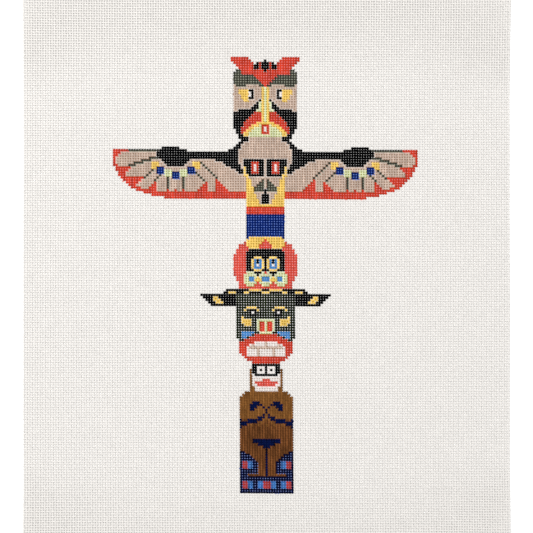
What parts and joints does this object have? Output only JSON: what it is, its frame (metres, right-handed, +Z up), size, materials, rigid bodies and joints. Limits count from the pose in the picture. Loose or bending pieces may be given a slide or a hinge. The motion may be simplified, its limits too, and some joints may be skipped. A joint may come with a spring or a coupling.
{
  "type": "painted needlepoint canvas",
  "caption": "Rectangular sheet of stiff mono-weave needlepoint canvas, painted thread by thread with a totem pole picture and left bare round it, ready to be stitched.",
  "frame": {"origin": "on the ground under the middle of the sheet", "axes": "+Y towards the top of the picture, +X to its right, +Z up out of the painted face"},
  "size_m": [0.2682, 0.3432, 0.0063],
  "materials": {
    "cotton_canvas": "starched white cotton mono canvas, matt, hand-painted on the thread crossings"
  },
  "bodies": {
    "root": {"needlepoint_canvas": "cotton_canvas"}
  },
  "joints": []
}
